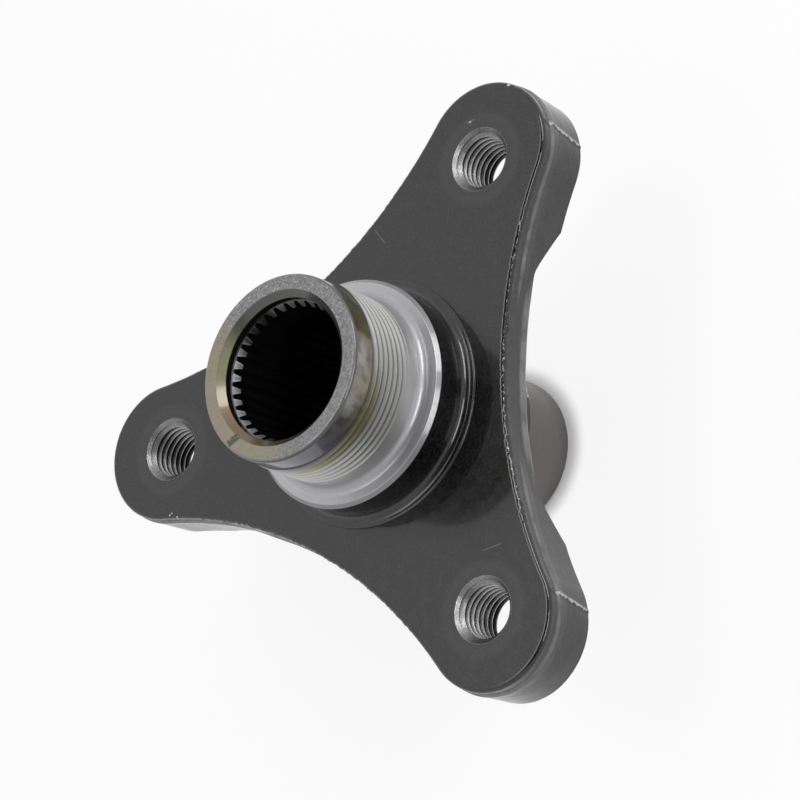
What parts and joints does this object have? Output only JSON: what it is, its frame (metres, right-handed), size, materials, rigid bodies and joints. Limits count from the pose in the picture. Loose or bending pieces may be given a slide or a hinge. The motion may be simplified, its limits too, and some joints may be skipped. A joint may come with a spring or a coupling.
{
  "type": "differential flange",
  "caption": "Three-arm drive flange with tapped arm ends, a threaded nose with a splined bore, and a ground seal journal behind.",
  "frame": {"origin": "on the axis, in the plane of the arms' front faces, at the centre of the bolt circle", "axes": "+Z along the axis towards the threaded nose, +Y along the first arm"},
  "size_m": [0.1228, 0.1102, 0.075],
  "materials": {
    "black_paint": "gloss",
    "turned_steel": "satin",
    "ground_steel": "satin"
  },
  "bodies": {
    "root": {"arm_flange": "black_paint", "splined_hub": "turned_steel", "seal_journal": "ground_steel"}
  },
  "joints": []
}
